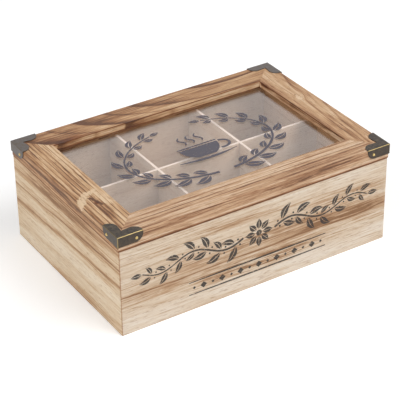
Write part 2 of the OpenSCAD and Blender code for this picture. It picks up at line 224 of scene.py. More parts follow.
# Sawn and sanded paulownia: broad soft rings cut by the saw into bands and flames, with open pores drawn out
# along the grain. The eye gets a pale matt board with tan bands, fine streaks and slightly raised rings.
def paulownia(name, colours, grain, across, deep, seed, span, profile, wander, waver, tones=BARE, face=0.0,
              slope=0.0, drift=((0, 0), (1, 0)), pith=None, spacing=6, ring_depth=0.5, cloud=0.3,
              fibre=0.22, streaks=0.3, knots=(), arrises=(), patches=(), washes=(), smears=(), quiet=None,
              tint="#FFFFFF", relief=0.12, ink=None):
    """One board's wood. Its profile is its darkness by the place across it, which drifts along it. Lengths
    are in mm. A pith line has its place across, depth, lean along and dip inward; quiet is the depth where
    the inner face starts, its darkness and how far it takes over."""
    material, tree = finish_of(name)
    shades = [getattr(colours, tone) for tone in tones]
    place = rest_place(tree)
    parts = add(tree, "SeparateXYZ", None, [place]).node.outputs
    u, v, w = (parts[axis] for axis in (grain, across, deep))
    inward = add(tree, "Math", "SUBTRACT", [w, face])

    def figure(size, draw, detail, roughness=0.5):
        """Noise drawn out along the grain, with a place of its own for each draw."""
        along, cross = size
        scale = [1 / cross] * 3
        scale["XYZ".index(grain)] = 1 / along
        shift = [(seed + draw) * by for by in (17.3, 5.9, 31.7)]
        space = add(tree, "VectorMath", "MULTIPLY_ADD", [place, scale, shift])
        return add(tree, "TexNoise", None,
                   {"Vector": space, "Scale": 1, "Detail": detail, "Roughness": roughness})

    def stirred(value, much, *noise):
        """A value moved up and down by a figure, by much at most."""
        swing = add(tree, "Math", "SUBTRACT", [figure(*noise), 0.5])
        return add(tree, "Math", "MULTIPLY_ADD", [swing, much * 2, value])

    # The grain wanders slowly over the length of the board and wavers over a few centimetres.
    for size, much in ((WANDER, wander), (WAVER, waver)):
        v = stirred(v, much, size, size[0], 2)

    # Bands and ring lines, by their place across the board and into it, shifted along its length.
    low, high = span
    start, end = drift[0][0], drift[-1][0]
    part = add(tree, "MapRange", None, [u, start, end])
    shifts = greys([(at, by / MOST_DRIFT + 0.5) for at, by in drift], start, end)
    shift = add(tree, "ValToRGB", dict(shifts, blend_between="EASE"), [part])
    shift = add(tree, "Math", "MULTIPLY_ADD", [shift, -MOST_DRIFT, MOST_DRIFT / 2])
    banded = add(tree, "Math", "ADD", [v, shift])
    banded = add(tree, "Math", "MULTIPLY_ADD", [inward, slope, banded])
    banded = add(tree, "MapRange", None, [banded, low, high])
    tone = add(tree, "ValToRGB", greys(profile, low, high), [banded])

    # Growth rings round the pith line, each with its own strength, pushed outwards by knots.
    if pith:
        centre, depth, lean, dip = pith
        side = add(tree, "Math", "SUBTRACT", [v, centre])
        below = add(tree, "Math", "MULTIPLY_ADD", [u, lean, depth])
        below = add(tree, "Math", "MULTIPLY_ADD", [inward, dip, below])
        spot = add(tree, "CombineXYZ", None, [side, below])
        radius = add(tree, "VectorMath", "LENGTH", [spot], "Value")
        for at, reach, lift in knots:
            swell = add(tree, "VectorMath", "DISTANCE", [place, at], "Value")
            swell = add(tree, "Math", "DIVIDE", [swell, reach])
            swell = add(tree, "Math", "POWER", [swell, 2])
            swell = add(tree, "Math", "MULTIPLY", [swell, -1])
            swell = add(tree, "Math", "EXPONENT", [swell])
            radius = add(tree, "Math", "MULTIPLY_ADD", [swell, lift, radius])
        count = add(tree, "Math", "DIVIDE", [radius, spacing])
        ring = add(tree, "ValToRGB", greys(RING), [add(tree, "Math", "FRACT", [count])])
        strength = add(tree, "TexWhiteNoise", {"noise_dimensions": "1D"},
                       {"W": add(tree, "Math", "FLOOR", [count])})
        strength = add(tree, "MapRange", None, [strength, 0, 1, 0.5 * ring_depth, ring_depth])
        tone = add(tree, "Math", "MULTIPLY_ADD", [ring, strength, tone])

    # Slow clouds of colour, streaks of fibre, and single dark fibres among them.
    for size, much in ((CLOUD, cloud), (BROAD_FIBRE, fibre), (FIBRE, fibre), (FINE_FIBRE, fibre * 0.7)):
        tone = stirred(tone, much, size, size[1], 2.5, 0.6)
    streak = add(tree, "MapRange", None, [figure(DARK_FIBRE, 0.4, 3, 0.7), 0.56, 0.66, 0, streaks])
    tone = add(tree, "Math", "ADD", [tone, streak])

    # Washes of darker, flaming grain, with ragged ends.
    for at, reach, much in washes:
        wash = near_spot(tree, place, at, reach, 0.15, much)
        flame = add(tree, "MapRange", None, [figure(FLAME, at[0], 4, 0.68), 0.4, 0.6])
        tone = add(tree, "Math", "MULTIPLY_ADD", [wash, flame, tone])

    # Marks of knots and torn grain, each along a short line, lighter or darker; two on the right rail are
    # painted highlights at the lip's mitres.
    if smears:
        torn = add(tree, "TexNoise", None, {"Vector": place, "Scale": 0.55, "Detail": 4, "Roughness": 0.7})
        torn = add(tree, "Math", "SUBTRACT", [torn, 0.5])
    for foot, tip, half, much in smears:
        run = Vector(tip) - Vector(foot)
        off = add(tree, "VectorMath", "SUBTRACT", [place, foot])
        part = add(tree, "VectorMath", "DOT_PRODUCT", [off, run / run.length_squared], "Value")
        part = add(tree, "Math", {"operation": "ADD", "use_clamp": True}, [part, 0])
        beside = add(tree, "VectorMath", "SCALE", {0: run, "Scale": part})
        off = add(tree, "VectorMath", "DISTANCE", [off, beside], "Value")
        off = add(tree, "Math", "MULTIPLY_ADD", [torn, half * 3, off])
        off = add(tree, "MapRange", None, [off, half * 0.75, half * 1.2, much, 0])
        tone = add(tree, "Math", "ADD", [tone, off])

    # Planed inner faces, with a quieter figure than the outer ones, brought to a set tone that is partly the
    # planed wood and partly painted shade inside the box.
    if quiet:
        depth, rest, much = quiet
        inner = add(tree, "Math", "ABSOLUTE", [inward])
        inner = add(tree, "MapRange", None, [inner, depth - 2, depth, 0, much])
        tone = add(tree, "Mix", None, {0: inner, 2: tone, 3: rest})
    colour = add(tree, "ValToRGB", {"stops": list(zip(SHADES_AT, shades))}, [tone])
    colour = add(tree, "Mix", TINTED, {0: 1, 6: colour, 7: paint(tint)}, 2)

    # Open pores: short dark dashes.
    pore = add(tree, "MapRange", None, [figure(PORE, 3, 1), 0.6, 0.72])
    dark = add(tree, "Math", "MULTIPLY", [pore, 0.5])
    colour = add(tree, "Mix", TINTED, {0: dark, 6: colour, 7: shades[2]}, 2)

    # Scorched patches and arrises, ragged by noise; the arrises along the seam between lid and body are
    # partly painted shade, and the one at the lip's foot is a dark line along the glass. Wood browns before
    # it chars.
    burnt = 0.0
    ragged = add(tree, "MapRange", None, [figure(RAGGED, 7, 3), 0.3, 0.62, 0.35, 1])
    for at, reach, much in patches:
        burnt = add(tree, "Math", "MAXIMUM", [burnt, near_spot(tree, place, at, reach, 0.25, much)])
    burnt = add(tree, "Math", "MULTIPLY", [burnt, ragged])
    if arrises:
        ragged = add(tree, "MapRange", None, [ragged, 0.35, 1, 0.7, 1])
    for one, at_one, other, at_other, reach, much in arrises:
        arris = near_line(tree, parts[one], at_one, parts[other], at_other, 0.1 * reach, reach, much)
        arris = add(tree, "Math", "MULTIPLY", [arris, ragged])
        burnt = add(tree, "Math", "MAXIMUM", [burnt, arris])
    browned = add(tree, "MapRange", None, [burnt, 0, 0.65])
    colour = add(tree, "Mix", TINTED, {0: browned, 6: colour, 7: colours.browning}, 2)
    charred_and_seam_shade = add(tree, "Math", "POWER", [burnt, 2])
    colour = add(tree, "Mix", MIXED, {0: charred_and_seam_shade, 6: colour, 7: colours.scorch_and_seam_shade}, 2)

    roughness = [tone, 0, 1, 0.72, 0.52]
    height = add(tree, "Math", "MULTIPLY_ADD", [pore, -0.9, tone])
    if ink:
        # Ink stands in the fibres and is worn off the high ones.
        cover = add(tree, "MapRange", None, [figure(WORN, 11, 4, 0.7), 0.33, 0.42, 0.15, 0.95])
        colour = add(tree, "Mix", MIXED, {0: cover, 6: colour, 7: ink}, 2)
        roughness = [cover, 0, 1, 0.7, 0.5]
    roughness = add(tree, "MapRange", None, roughness)
    return surfaced(material, colour, roughness, 0.7, relief, height, {"Specular IOR Level": 0.35})


def dress(material, *names):
    """Puts a material on CAD nodes in place of the plain one that they came with."""
    for name in names:
        mesh = NODES[name].data
        mesh.materials.clear()
        mesh.materials.append(material)


# Places of the box's faces and edges, in millimetres.
END, FRONT, BACK, RIM = 119.5, -82.0, 82.5, 73
LID_END, LID_SIDE, LID_TOP = 120, 82.5, 85
LIP_END, LIP_SIDE, LIP_FOOT, FOOT_END, FOOT_SIDE = 96, 58.5, 80.5, 95.1, 57.6

# The inner faces' tone is partly painted shade inside the box.
BOARD = dict(across="Z", span=(0, RIM), fibre=0.28, quiet=(6, 0.34, 0.75))
FRONT_BOARD = dict(
    BOARD, grain="X", deep="Y", face=FRONT, seed=1,
    profile=((0, 0.3), (3, 0.14), (11, 0.12), (15, 0.24), (19, 0.32), (22, 0.24), (29, 0.32), (31.2, 0.38),
             (32, 0.95), (33.2, 0.48), (38, 0.38), (43, 0.34), (45, 0.24), (52, 0.28), (57, 0.2), (62, 0.3),
             (66, 0.24), (RIM, 0.3)),
    drift=((-120, 0.5), (-95, -0.6), (-20, 0), (40, 0.4), (90, -0.8), (120, 1.8)),
    pith=(27, -22, 0.06, 1), spacing=4.2, ring_depth=0.14, wander=2.0, waver=0.9, cloud=0.36,
    washes=(((5, FRONT, 22), (95, 20, 13), 0.85), ((85, FRONT, 35), (80, 20, 9), 0.65),
            ((10, FRONT, 41), (125, 20, 10), 0.5), ((85, FRONT, 52), (60, 20, 11), 0.45),
            ((-90, FRONT, 27), (45, 20, 7), 0.35), ((-20, FRONT, 64), (70, 20, 7), 0.3)),
    # The arris at RIM, here and on every board, is partly a burnt edge and partly painted shade in the seam
    # under the lid.
    arrises=around("Y", FRONT, ("X", -END, 1.1, 0.6), ("X", END, 0.8, 0.4), ("Z", RIM, 0.9, 0.9),
                   ("Z", 0, 0.8, 0.12)),
)
LEFT_BOARD = dict(
    BOARD, grain="Y", deep="X", face=-END, seed=2,
    profile=((0, 0.5), (2, 0.26), (5, 0.16), (11, 0.18), (15.5, 0.4), (17, 0.18), (24, 0.18), (31, 0.24),
             (34.6, 0.8), (36, 0.38), (43, 0.28), (48.2, 0.5), (48.8, 0.95), (50.3, 0.45), (53, 0.34),
             (54, 0.62), (55, 0.3), (59, 0.36), (62.6, 0.75), (64, 0.5), (69, 0.42), (RIM, 0.55)),
    drift=((-82, 7.8), (-40, 6.2), (0, 4.2), (40, 1.2), (82, 0)),
    pith=(90, -79, 0.02, 1), spacing=7, ring_depth=0.1, wander=1.0, waver=0.6, cloud=0.34, streaks=0.26,
    washes=(((-END, -10, 66), (20, 70, 10), 0.5), ((-END, -40, 55), (20, 55, 7), 0.4),
            ((-END, 40, 68), (20, 50, 6), 0.4), ((-END, -50, 38), (20, 40, 6), 0.35)),
    arrises=around("X", -END, ("Y", FRONT, 0.9, 0.5), ("Y", BACK, 0.8, 0.4), ("Z", RIM, 1.4, 0.95),
                   ("Z", 0, 0.8, 0.2)), tint="#FFFBF1",
)
BACK_BOARD = dict(
    FRONT_BOARD, face=BACK, seed=5, pith=(52, 90, -0.05, 1), fibre=0.22, streaks=0.2,
    drift=((-120, 2), (0, -1), (120, 1)),
    washes=(((-30, BACK, 24), (80, 20, 10), 0.6), ((60, BACK, 45), (70, 20, 9), 0.5)),
    arrises=around("Y", BACK, ("X", END, 0.9, 0.6), ("X", -END, 0.9, 0.6), ("Z", RIM, 1.4, 1.0),
                   ("Z", 0, 0.8, 0.35)),
)
# Its inner face is darker still, as painted shade under the lid's right rail.
RIGHT_BOARD = dict(
    LEFT_BOARD, face=END, seed=8, pith=(20, 130, 0.05, 1), ring_depth=0.3, fibre=0.22,
    drift=((-82, -3), (0, 2), (82, 5)),
    washes=(((END, 10, 30), (20, 70, 10), 0.5), ((END, -30, 58), (20, 50, 8), 0.4)),
    arrises=around("X", END, ("Y", FRONT, 0.9, 0.5), ("Y", BACK, 0.9, 0.5), ("Z", RIM, 1.4, 0.95),
                   ("Z", 0, 0.8, 0.3)), quiet=(6, 0.55, 0.75),
)
# Rotary-cut plywood: the eye gets wide, slow figure on a pale face.
BOTTOM_PANEL = dict(
    grain="X", across="Y", deep="Z", seed=12, span=(-80, 80),
    profile=((-80, 0.3), (-52, 0.12), (-30, 0.35), (-8, 0.15), (15, 0.4), (40, 0.18), (60, 0.34), (80, 0.2)),
    pith=(-10, 17, 0.03, 1), spacing=9, ring_depth=0.3, wander=8, waver=1.5, fibre=0.16, streaks=0.12,
    relief=0.08,
)
DIVIDER = dict(
    across="Z", span=(0, RIM), wander=3, waver=0.8, fibre=0.12, streaks=0.1, relief=0.06,
    profile=((0, 0.1), (14, 0.3), (26, 0.1), (41, 0.28), (52, 0.1), (63, 0.34), (RIM, 0.15)),
)
# Glazing beads: toasted wood drawn darker still, partly painted shade under the lid's frame.
SHADED_BEAD = dict(
    deep="Z", tones=TOASTED, span=(-120, 120), profile=((-120, 0.8), (-40, 0.6), (40, 0.7), (120, 0.8)),
    wander=0.8, waver=0.5, relief=0.08,
)


class TEABOX_OT_boards(bpy.types.Operator):
    """Gives the four walls of the box their bare sanded boards"""

    bl_idname = "tea_box.boards"
    bl_label = "Boards"

    def execute(self, context):
        colours = context.scene.tea_box_colours
        for side, board in (("front", FRONT_BOARD), ("left", LEFT_BOARD), ("back", BACK_BOARD),
                            ("right", RIGHT_BOARD)):
            dress(paulownia(f"paulownia_{side}_board", colours, **board), f"{side}_board")
        return {"FINISHED"}


class TEABOX_OT_bottom(bpy.types.Operator):
    """Gives the bottom panel its plywood and its brads their steel"""

    bl_idname = "tea_box.bottom"
    bl_label = "Bottom panel and brads"

    def execute(self, context):
        colours = context.scene.tea_box_colours
        dress(paulownia("rotary_cut_plywood_bottom", colours, **BOTTOM_PANEL), "bottom_panel")
        dress(bronzed_steel("blued_steel_brads", colours, colours.grey_bronze_and_sky_reflection), "bottom_brads")
        return {"FINISHED"}


# Thin boards sawn to size: straight quiet grain on the faces, and a creamy colour on faces that point up,
# partly the paler sawn edge and partly a painted highlight.
def divider_board(name, colours, grain, deep, seed):
    material = paulownia(name, colours, grain=grain, deep=deep, seed=seed, **DIVIDER)
    tree = material.node_tree
    board = next(node for node in tree.nodes if node.type == "BSDF_PRINCIPLED")
    face = board.inputs["Base Color"].links[0].from_socket
    # Painted highlight: faces that point up in the world are mixed towards the cut edge colour.
    upward = add(tree, "SeparateXYZ", None, [add(tree, "NewGeometry", out="Normal")], "Z")
    upward = add(tree, "MapRange", None, [upward, 0.5, 0.8, 0, 0.9])
    colour = add(tree, "Mix", MIXED, {0: upward, 6: face, 7: colours.cut_edge_and_highlight}, 2)
    tree.links.new(colour, board.inputs["Base Color"])
    return material


class TEABOX_OT_dividers(bpy.types.Operator):
    """Gives the three lapped dividers their thin boards"""

    bl_idname = "tea_box.dividers"
    bl_label = "Dividers"

    def execute(self, context):
        colours = context.scene.tea_box_colours
        for name, node, grain, deep, seed in (("long", "long_divider", "X", "Y", 21),
                                              ("left", "left_cross_divider", "Y", "X", 22),
                                              ("right", "right_cross_divider", "Y", "X", 23)):
            dress(divider_board(f"sawn_divider_{name}", colours, grain, deep, seed), node)
        return {"FINISHED"}


# Rails browned with a flame and brushed: the eye gets deep rings, dark arrises that are partly burnt and
# partly painted seam shade, and raised grain.
# The front and left rails are cut with straight grain, the back and right ones show their rings.
# Each rail's lower outer arris at RIM is partly a burnt edge and partly painted shade in the seam over the
# body.
RAIL = dict(deep="Z", face=LID_TOP, tones=TOASTED, relief=0.2)
STRAIGHT_RAIL = dict(RAIL, slope=1, wander=0.9, cloud=0.4, fibre=0.5, streaks=0.4)
FRONT_RAIL = dict(
    STRAIGHT_RAIL, grain="X", across="Y", seed=31, span=(-95, -55),
    profile=((-95, 0.6), (-93.4, 0.3), (-92.2, 0.16), (-90.4, 0.3), (-89, 0.36), (-86.5, 0.5), (-85, 0.6),
             (-83, 0.5), (-81, 0.3), (-78.5, 0.5), (-77, 0.28), (-74, 0.3), (-72.6, 0.8), (-71.8, 0.25),
             (-69.9, 0.26), (-69.3, 0.98), (-68.8, 0.15), (-66.5, 0.14), (-64.8, 0.66), (-64, 0.22),
             (-61.5, 0.12), (-60, 0.42), (-57, 0.12), (-55, 0.2)), waver=0.5,
    washes=(((60, -76, LID_TOP), (60, 6, 20), 0.35), ((50, -LID_SIDE, 80), (80, 8, 4.5), 0.6)),
    arrises=(*around("Y", -LID_SIDE, ("Z", RIM, 2.6, 1.0), ("Z", LID_TOP, 0.5, 0.25)),
             ("Y", -LIP_SIDE, "Z", LID_TOP, 0.5, 0.3)),
    tint="#FFF7F2",
)
BACK_RAIL = dict(
    RAIL, grain="X", across="Y", seed=34, span=(55, 83),
    profile=((55, 0.2), (58.4, 0.2), (58.9, 0.4), (66, 0.36), (72, 0.42), (78, 0.4), (83, 0.5)),
    pith=(90, 24.3, -0.311, 0.25), spacing=15.5, ring_depth=0.95, wander=2.2, waver=0.7, cloud=0.45,
    fibre=0.42, washes=(((-88, 70, LID_TOP), (34, 18, 20), 0.45), ((20, 72, LID_TOP), (80, 12, 20), 0.35)),
    patches=(((-80, LIP_SIDE + 2, LID_TOP), (20, 3.4, 5), 1.0), ((-97, 66, LID_TOP), (13, 6, 6), 0.4),
             ((88, LIP_SIDE + 0.4, LID_TOP), (16, 1.8, 2.5), 0.8)),
    arrises=(*around("Z", LID_TOP, ("Y", LIP_SIDE, 0.9, 0.85), ("Y", LID_SIDE, 0.6, 0.4)),
             ("Z", RIM, "Y", LID_SIDE, 0.9, 0.9), ("Z", LIP_FOOT, "Y", FOOT_SIDE, 0.8, 0.7)),
    tint="#FFF5E8",
)
LEFT_RAIL = dict(
    STRAIGHT_RAIL, grain="Y", across="X", seed=32, span=(-133, -94),
    profile=((-133, 0.5), (-131.6, 0.78), (-130.6, 0.35), (-129.6, 0.66), (-127.6, 0.48), (-126.6, 0.85),
             (-124.6, 0.62), (-123.4, 0.38), (-122, 0.5), (-121, 0.76), (-119.6, 0.6), (-118.6, 0.9),
             (-117.6, 0.3), (-115.6, 0.26), (-114.8, 0.85), (-114, 0.26), (-112.2, 0.18), (-111.4, 0.95),
             (-110.8, 0.36), (-108.6, 0.42), (-107.9, 0.95), (-107.2, 0.32), (-105.6, 0.28), (-104.9, 0.85),
             (-104.1, 0.18), (-101.6, 0.2), (-101, 0.85), (-100.4, 0.24), (-98.6, 0.18), (-98, 0.6),
             (-97.4, 0.16), (-94, 0.25)), waver=0.45,
    washes=(((-108, -46, LID_TOP), (9, 20, 20), 0.55), ((-LID_END, 0, 79), (6, 70, 6), 0.3)),
    smears=(((-120.5, -29.5, 84), (-116, -24.5, 85), 3.2, -0.8),
            ((-116, -24.5, 85), (-110, -18.5, 85), 2.6, -0.8),
            ((-110, -18.5, 85), (-102, -16, 85), 1.8, -0.55),
            ((-104, -20, 85), (-101, -36, 85), 2.6, -0.35), ((-109.5, -25, 85), (-106.5, -36, 85), 1.2, 0.7)),
    patches=(((-109, -33, LID_TOP), (2.6, 3.0, 3), 0.8),),
    arrises=(*around("X", -LID_END, ("Z", RIM, 1.0, 0.95), ("Z", LID_TOP, 0.5, 0.2)),
             ("X", -LIP_END, "Z", LID_TOP, 0.5, 0.25)),
    relief=0.22, tint="#FFF6E8",
)
RIGHT_RAIL = dict(
    RAIL, grain="Y", across="X", seed=33, span=(94, 121),
    profile=((94, 0.15), (95.9, 0.15), (96.3, 0.55), (98, 0.46), (99, 0.34), (104, 0.24), (110, 0.26),
             (115, 0.4), (121, 0.52)),
    pith=(126, 17, 0.12, 0.3), spacing=6.4, ring_depth=0.42, wander=2.4, waver=0.9, cloud=0.45, fibre=0.42,
    streaks=0.34, knots=(((107.5, 21.7, LID_TOP), 6.0, 3.2),),
    washes=(((108, -40, LID_TOP), (9, 30, 20), 0.5), ((99, 40, LID_TOP), (4, 30, 20), 0.3)),
    smears=(((107.5, 21.7, 85), (106.2, 16, 85), 1.6, -0.4), ((107.6, 21.6, 85), (107.4, 22.6, 85), 1.7, 0.6),
            ((107.6, 21.9, 85), (107.4, 22.4, 85), 0.9, -0.75),
            # Painted highlights: pale wedges down the lip at its two mitred corners.
            ((96.3, 58, 84.6), (95.2, 55.5, 80.8), 0.8, -0.6),
            ((96.3, -57.5, 84.6), (95.2, -54, 80.8), 0.8, -0.6)),
    patches=(((96, 50, LID_TOP), (1.6, 13, 3), 0.8),),
    arrises=(*around("Z", LID_TOP, ("X", LIP_END, 0.9, 0.85), ("X", LID_END, 0.6, 0.3)),
             ("Z", RIM, "X", LID_END, 0.9, 0.9), ("Z", LIP_FOOT, "X", FOOT_END, 0.8, 0.7)),
    tint="#FFF6EC",
)


class TEABOX_OT_rails(bpy.types.Operator):
    """Gives the lid's four rails and its glazing beads their toasted and brushed wood"""

    bl_idname = "tea_box.rails"
    bl_label = "Lid rails and beads"

    def execute(self, context):
        colours = context.scene.tea_box_colours
        for side, rail, seed in (("front", FRONT_RAIL, 45), ("back", BACK_RAIL, 44), ("left", LEFT_RAIL, 44),
                                 ("right", RIGHT_RAIL, 45)):
            dress(paulownia(f"toasted_paulownia_{side}_rail", colours, **rail), f"{side}_rail")
            bead = dict(SHADED_BEAD, grain=rail["grain"], across=rail["across"], seed=seed)
            dress(paulownia(f"toasted_bead_{side}", colours, **bead), f"{side}_bead")
        return {"FINISHED"}


# Float glass: clear, flat and smooth, with faint smudges. Lamps pass straight through it, so that the eye
# sees the lit compartments under a pale veil of reflected room.
def float_glass():
    material, tree = finish_of("clear_float_glass")
    smudge = add(tree, "TexNoise", None,
                 {"Vector": add(tree, "TexCoord", out="Object"), "Scale": 22, "Detail": 3})
    smudge = add(tree, "MapRange", None, [smudge, 0.35, 0.8, 0, 0.045])
    glass = add(tree, "BsdfPrincipled", None, {"Base Color": paint("#FFFBF8"), "Roughness": smudge,
                                               "IOR": 1.5, "Transmission Weight": 1.0})
    clear = add(tree, "BsdfTransparent", None, [paint("#FFFAF7")])
    rays = add(tree, "LightPath").node.outputs
    lamps = add(tree, "Math", "MAXIMUM", [rays["Is Shadow Ray"], rays["Is Diffuse Ray"]])
    add(tree, "OutputMaterial", None, [add(tree, "MixShader", None, [lamps, glass, clear])])
    return material


class TEABOX_OT_glass(bpy.types.Operator):
    """Gives the pane its clear float glass"""

    bl_idname = "tea_box.glass"
    bl_label = "Glass pane"

    def execute(self, context):
        dress(float_glass(), "glass_pane")
        return {"FINISHED"}


# Pressed steel sheet in an antique bronze finish: a dark lacquered metal with brown clouds and fine scuffs,
# rubbed through to the brassy plating along its folds, most of all at the front.
# On the brackets the flat top plate takes a colour of its own, a painted reflection.
def bronzed_steel(name, colours, finish, folds=None, top_plate_reflection=None):
    material, tree = finish_of(name)
    place = rest_place(tree)
    cloud = add(tree, "TexNoise", None, {"Vector": place, "Scale": 0.35, "Detail": 4, "Roughness": 0.65})
    cloud = add(tree, "MapRange", None, [cloud, 0.35, 0.7])
    scuff = add(tree, "TexNoise", None, {"Vector": place, "Scale": 1.6, "Detail": 5, "Roughness": 0.75})
    scuff = add(tree, "MapRange", None, [scuff, 0.5, 0.78])
    rubbed = 0.0
    if folds:
        half_x, half_y, top = folds
        x, y, z = add(tree, "SeparateXYZ", None, [place]).node.outputs
        # Painted reflection on the flat top plate.
        upper = add(tree, "MapRange", None, [z, top - 0.3, top - 0.1])
        finish = add(tree, "Mix", MIXED, {0: upper, 6: finish, 7: top_plate_reflection}, 2)
        side, end = (add(tree, "Math", "ABSOLUTE", [part]) for part in (x, y))
        for one, at_one, other, at_other, reach, much in ((end, half_y, z, top, 0.6, 1.0),
                                                          (side, half_x, z, top, 0.55, 0.3),
                                                          (side, half_x, end, half_y, 0.9, 0.5)):
            fold = near_line(tree, one, at_one, other, at_other, 0.1, reach, much)
            rubbed = add(tree, "Math", "MAXIMUM", [rubbed, fold])
        front = add(tree, "Math", "LESS_THAN", [y, 0])
        front = add(tree, "MapRange", None, [front, 0, 1, 0.35, 1])
        rubbed = add(tree, "Math", "MULTIPLY", [rubbed, front])
    colour = add(tree, "Mix", MIXED, {0: cloud, 6: finish, 7: colours.umber}, 2)
    scuffed = add(tree, "Math", "MULTIPLY", [scuff, 0.35])
    colour = add(tree, "Mix", MIXED, {0: scuffed, 6: colour, 7: paint("#8A8078")}, 2)
    colour = add(tree, "Mix", MIXED, {0: rubbed, 6: colour, 7: colours.brass}, 2)
    roughness = add(tree, "MapRange", None, [scuff, 0, 1, 0.34, 0.55])
    height = add(tree, "Math", "MULTIPLY_ADD", [scuff, -0.5, cloud])
    return surfaced(material, colour, roughness, 0.5, 0.06, height, {"Metallic": 0.8})


# Brassed steel nails and screws: bright yellow metal, tumbled, with dull spots scattered by noise.
def brass(name, colours):
    material, tree = finish_of(name)
    dull = add(tree, "TexNoise", None,
               {"Vector": add(tree, "TexCoord", out="Object"), "Scale": 1400, "Detail": 3})
    dull = add(tree, "MapRange", None, [dull, 0.45, 0.75])
    colour = add(tree, "Mix", MIXED, {0: dull, 6: colours.brass, 7: paint("#8C7445")}, 2)
    roughness = add(tree, "MapRange", None, [dull, 0, 1, 0.22, 0.5])
    return surfaced(material, colour, roughness, 0.3, 0.02, dull, {"Metallic": 1.0})


class TEABOX_OT_brackets(bpy.types.Operator):
    """Gives the four corner brackets their antique bronze, and their nails their brass"""

    bl_idname = "tea_box.brackets"
    bl_label = "Corner brackets and nails"

    def execute(self, context):
        colours = context.scene.tea_box_colours
        low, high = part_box("front_left_bracket")
        folds = (-low.x / MM, -low.y / MM, high.z / MM)
        # The back brackets' whole colour and both top-plate colours are painted reflections.
        for end, finish, top_plate_reflection in (("front", colours.bronze, colours.bronze_top_dark_reflection),
                                     ("back", colours.grey_bronze_and_sky_reflection, colours.grey_bronze_and_sky_reflection)):
            dress(bronzed_steel(f"antique_bronzed_steel_{end}", colours, finish, folds, top_plate_reflection),
                  f"{end}_left_bracket", f"{end}_right_bracket")
        dress(brass("tumbled_brass_nails", colours), "bracket_nails")
        return {"FINISHED"}


class TEABOX_OT_hinges(bpy.types.Operator):
    """Gives the two hinges their bronzed leaves and brass pins and screws"""

    bl_idname = "tea_box.hinges"
    bl_label = "Hinges"

    def execute(self, context):
        colours = context.scene.tea_box_colours
        dress(bronzed_steel("antique_bronzed_hinge_leaves", colours, colours.bronze), "left_box_leaf",
              "right_box_leaf", "left_lid_leaf", "right_lid_leaf")
        dress(brass("tumbled_brass_hinge_hardware", colours), "left_hinge_pin", "right_hinge_pin",
              "box_leaf_screws", "lid_leaf_screws")
        return {"FINISHED"}


# Lengths in the drawings of the prints are in millimetres. Leaves shrink by TAPER to the tip.
VINE_LEVEL, LEAF_GAP, BERRY_GAP, TAPER = 47, 1.1, 0.9, 0.32


def toward(angle):
    """A step of 1 in a direction."""
    return Vector((math.cos(angle), math.sin(angle)))


def leaf(foot, heading, long, wide, bend=0.0, steps=9):
    """A pointed leaf in two halves with a bare vein between them, from its foot along a heading."""
    def spine(part):
        return foot + long * part * toward(heading + bend * (part - 0.5))

    halves = []
    for side in (1, -1):
        outer, inner = [], []
        for i in range(steps + 1):
            part = i / steps
            here = spine(part)
            ahead = spine(part + 0.02) - spine(part - 0.02)
            across = Vector((-ahead.y, ahead.x)).normalized() * side
            # The vein narrows towards the tip.
            vein = wide * (0.06 - 0.03 * part)
            half = wide / 2 * math.sin(math.pi * part ** 0.85)
            outer.append(here + across * max(half, vein + 0.12))
            inner.append(here + across * vein)
        halves.append((outer, inner))
    return halves


def ribbon(points, widths):
    """A band along points, as wide at each point as its width says."""
    left, right = [], []
    for i, point in enumerate(points):
        ahead = points[min(i + 1, len(points) - 1)] - points[max(i - 1, 0)]
        across = Vector((-ahead.y, ahead.x)).normalized() * widths[i] / 2
        left.append(point + across)
        right.append(point - across)
    return [(left, right)]


def mound(points):
    """A shape that bulges outwards everywhere, cut into a band between its first and last halves."""
    half = len(points) // 2
    return [(points[:half], points[half:][::-1])]


def disc(centre, radius, steps=16):
    """A round spot."""
    return mound([centre + radius * toward(2 * math.pi * (i + 0.5) / steps) for i in range(steps)])


def lozenge(centre, wide):
    """A square spot stood on its corner, its side points cut off."""
    half, cut = wide / 2, 0.08
    return mound([centre + Vector(point) for point in ((half, -cut), (half, cut), (0, half), (-half, cut),
                                                       (-half, -cut), (0, -half))])


def sprig(path, widths, leaves, outer, inner, wide, lean, berry=0.0, crowding=0.0):
    """A stem along a path of even steps, with pairs of leaves: outer on its left and inner on its right."""
    shapes = ribbon(path, widths)
    last = len(path) - 1
    for i in range(leaves):
        part = (i + 0.55) / (leaves + 0.25)
        at = round(part * last)
        before, here, after = path[at - 1], path[at], path[min(at + 1, last)]
        ahead = after - before
        heading = math.atan2(ahead.y, ahead.x)
        bend = (after - here).cross(here - before)
        turn = -bend / (ahead.length / 2) ** 3
        grow = 1 - TAPER * part
        for side, long in ((1, outer), (-1, inner)):
            angle = heading + side * lean
            foot = here + (widths[at] / 2 + LEAF_GAP) * toward(angle)
            room = 1 - crowding * max(side * turn, 0)
            shapes += leaf(foot, angle, long * grow * room, wide * grow * (long / outer) ** 0.5 * room,
                           bend=-side * 0.5)
            if berry:
                back = path[max(at - round(0.03 * last), 0)]
                off = Vector((-ahead.y, ahead.x)).normalized() * (widths[at] / 2 + berry + BERRY_GAP)
                shapes += disc(back + side * off, berry * grow)
    return shapes


def even_steps(curve, steps, fine=400):
    """Points on a curve of 0 to 1, spaced evenly along it."""
    line = [curve(i / fine) for i in range(fine + 1)]
    run = [0.0]
    for a, b in zip(line, line[1:]):
        run.append(run[-1] + (b - a).length)
    points, k = [], 0
    for i in range(steps + 1):
        want = run[-1] * i / steps
        while k < fine - 1 and run[k + 1] < want:
            k += 1
        share = (want - run[k]) / (run[k + 1] - run[k])
        points.append(line[k].lerp(line[k + 1], min(share, 1)))
    return points


